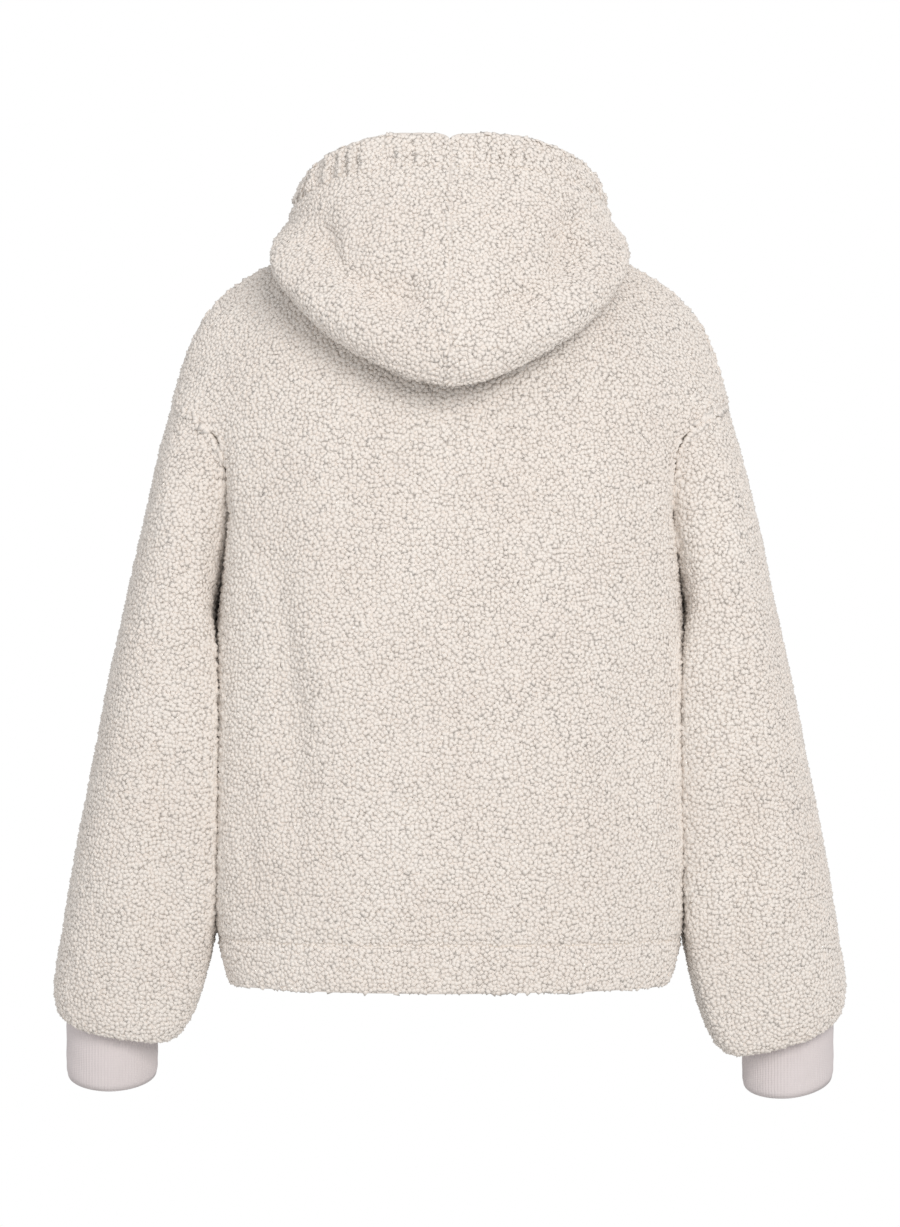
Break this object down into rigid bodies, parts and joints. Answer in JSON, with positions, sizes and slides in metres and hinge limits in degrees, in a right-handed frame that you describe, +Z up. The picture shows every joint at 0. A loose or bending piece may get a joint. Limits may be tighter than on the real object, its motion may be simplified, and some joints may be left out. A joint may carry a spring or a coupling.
{
  "type": "hooded sherpa jacket",
  "caption": "Worn-shape oversized hooded jacket of sherpa fleece with a zip front, a stitched casing on the hood's rim, dropped full sleeves and narrow rib cuffs, seen mainly from the back.",
  "frame": {"origin": "centre of the garment at the height of the two side neck points, where the shoulder seams meet the hood's neck seam: the middle of the wearer's neck", "axes": "+Z up the wearer's body, -Y the way the wearer faces (the zip side), +Y the back that the picture shows, +X the wearer's left"},
  "size_m": [0.6856, 0.319, 0.8163],
  "materials": {
    "sherpa": "cream sherpa fleece, curled polyester pile on a knitted backing",
    "rib": "lilac-grey rib knit, folded double",
    "zip_tape": "cream woven polyester tape with moulded teeth",
    "zip_metal": "nickel-plated zinc casting"
  },
  "bodies": {
    "jacket": {"back": "sherpa", "front_left": "sherpa", "front_right": "sherpa", "sleeve_left": "sherpa", "sleeve_right": "sherpa", "hood_left": "sherpa", "hood_right": "sherpa", "cuff_left": "rib", "cuff_right": "rib", "zip_tape_left": "zip_tape", "zip_tape_right": "zip_tape", "zip_slider": "zip_metal"},
    "zip_pull": {"zip_pull": "zip_metal"}
  },
  "joints": [
    {"name": "zip_pull_swing", "type": "hinge", "parent": "jacket", "child": "zip_pull", "pos_m": [0, -0.10066, -0.08049], "axis": [-1, 0, 0], "range_deg": [0, 145]}
  ]
}
